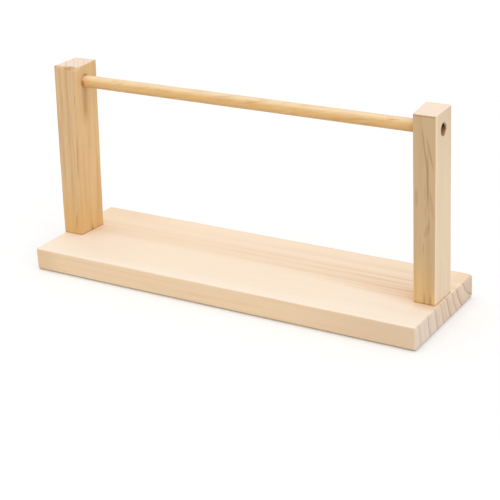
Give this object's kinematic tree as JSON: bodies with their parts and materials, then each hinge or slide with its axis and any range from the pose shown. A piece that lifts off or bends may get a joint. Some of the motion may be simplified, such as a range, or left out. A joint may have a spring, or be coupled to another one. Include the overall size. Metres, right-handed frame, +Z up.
{
  "type": "ribbon spool dispenser",
  "caption": "Wooden countertop dispenser: a flat base board with two square uprights that carry a removable round rod for ribbon, tape and twine spools.",
  "frame": {"origin": "under the middle of the base board, on the surface that it stands on", "axes": "+X along the board, towards the upright with the through hole that the rod draws out through; +Y to the back; +Z up"},
  "size_m": [0.34, 0.105, 0.164],
  "materials": {
    "pine": "planed and sanded, no varnish",
    "dowel": "turned and sanded, no varnish",
    "screw_steel": "bright zinc"
  },
  "bodies": {
    "stand": {"base_board": "pine", "left_upright": "pine", "right_upright": "pine", "left_front_screw": "screw_steel", "left_rear_screw": "screw_steel", "right_front_screw": "screw_steel", "right_rear_screw": "screw_steel"},
    "rod": {"spool_rod": "dowel"}
  },
  "joints": [
    {"name": "rod_slide", "type": "slide", "parent": "stand", "child": "rod", "axis": [1, 0, 0], "range_m": [0, 0.33]}
  ]
}
